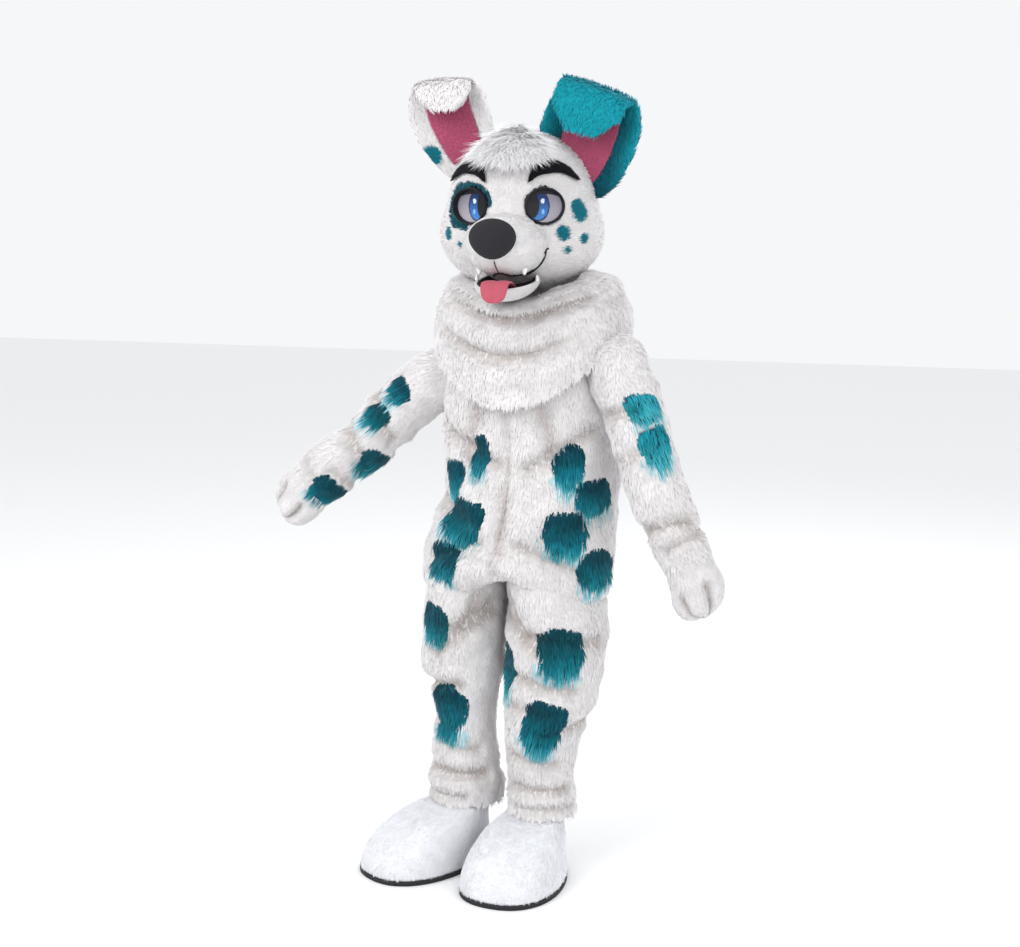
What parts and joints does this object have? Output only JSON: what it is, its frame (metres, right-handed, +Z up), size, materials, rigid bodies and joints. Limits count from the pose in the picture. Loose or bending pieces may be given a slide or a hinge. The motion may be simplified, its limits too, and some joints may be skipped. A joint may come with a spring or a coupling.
{
  "type": "dog mascot costume",
  "caption": "Worn full-body dog costume: hollow fur suit with spots, foam head with folded ears, draped cowl, gloves and padded feet.",
  "frame": {"origin": "middle of the wearer's shoulders inside the suit, 1.40 m above the soles", "axes": "+Z up, the costume faces -Y, +X is the wearer's left"},
  "size_m": [1.1759, 0.5415, 1.9098],
  "materials": {
    "white_fur": "long white pile with teal spots",
    "forelock_fur": "long straight white pile",
    "teal_fur": "long teal pile",
    "pink_fleece": "short pink pile",
    "black_fleece": "matt black short pile",
    "tongue_fleece": "short pink pile",
    "foot_fleece": "smooth short white pile",
    "sole_rubber": "matt black sheet",
    "eye_plastic": "printed mesh over a moulded bowl",
    "eye_rim_foam": "black foam sheet",
    "tooth_foam": "white foam"
  },
  "bodies": {
    "root": {"suit_front_left": "white_fur", "suit_front_right": "white_fur", "suit_back_left": "white_fur", "suit_back_right": "white_fur", "sleeve_left": "white_fur", "sleeve_right": "white_fur", "leg_left": "white_fur", "leg_right": "white_fur", "cowl": "white_fur", "head_shell": "white_fur", "jaw": "white_fur", "ear_right": "white_fur", "glove_left": "white_fur", "glove_right": "white_fur", "forelock": "forelock_fur", "ear_left": "teal_fur", "ear_lining_left": "pink_fleece", "ear_lining_right": "pink_fleece", "nose": "black_fleece", "brow_left": "black_fleece", "brow_right": "black_fleece", "mouth_lining": "black_fleece", "tongue": "tongue_fleece", "foot_left": "foot_fleece", "foot_right": "foot_fleece", "sole_left": "sole_rubber", "sole_right": "sole_rubber", "eye_left": "eye_plastic", "eye_right": "eye_plastic", "eye_rim_left": "eye_rim_foam", "eye_rim_right": "eye_rim_foam", "fang_upper_left": "tooth_foam", "fang_upper_right": "tooth_foam", "fang_lower_left": "tooth_foam", "fang_lower_right": "tooth_foam"}
  },
  "joints": []
}
